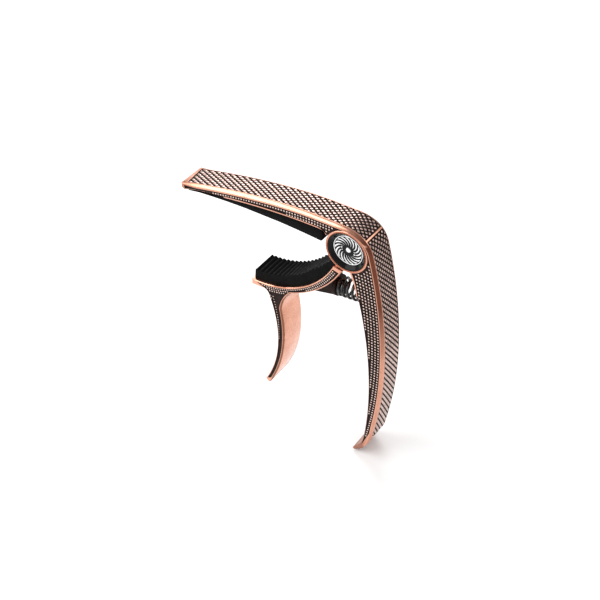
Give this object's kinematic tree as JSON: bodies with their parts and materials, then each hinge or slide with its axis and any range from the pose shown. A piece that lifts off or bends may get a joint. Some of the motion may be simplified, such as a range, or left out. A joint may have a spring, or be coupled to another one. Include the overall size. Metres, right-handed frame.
{
  "type": "guitar capo",
  "caption": "Trigger capo for a guitar neck: a cast bar with a long handle, a sprung lower jaw with a cradle and a short trigger, soft pads, and a round badge over the pivot.",
  "frame": {"origin": "crown of the string pad's pressing face, half way across the capo's width", "axes": "+X runs across the guitar's neck towards the pivot and the handle, +Y along the neck towards the guitar's body, +Z away from the strings, so the string pad presses along -Z"},
  "size_m": [0.0775, 0.011, 0.0942],
  "materials": {
    "antique_copper": "antique red copper plating on a die-cast zinc alloy body: polished on the raised edges and knurling, near black in the recesses",
    "black_silicone": "matte moulded silicone",
    "black_enamel": "gloss black",
    "silver_plate": "bright plated raised flutes with black paint between them",
    "bright_steel": "turned steel",
    "bronze": "sintered bronze",
    "white_nylon": "stamped nylon",
    "black_spring_steel": "black oxide spring wire with an oily gloss"
  },
  "bodies": {
    "frame": {"upper_frame": "antique_copper", "string_pad": "black_silicone", "pivot_pin": "bright_steel", "pin_retaining_ring": "bright_steel", "thrust_washer_near": "white_nylon", "thrust_washer_far": "white_nylon", "badge_bezel_near": "black_enamel", "badge_bezel_far": "black_enamel", "badge_rosette_near": "silver_plate", "badge_rosette_far": "silver_plate", "clamp_spring": "black_spring_steel"},
    "arm": {"lower_arm": "antique_copper", "neck_pad": "black_silicone", "pivot_bush": "bronze"}
  },
  "joints": [
    {"name": "jaw_pivot", "type": "hinge", "parent": "frame", "child": "arm", "pos_m": [0.0315, 0, -0.0001], "axis": [0, -1, 0], "range_deg": [-25, 16], "stiffness_Nm_per_rad": 2.15, "springref_deg": -28.65, "deforming": ["clamp_spring"]}
  ]
}
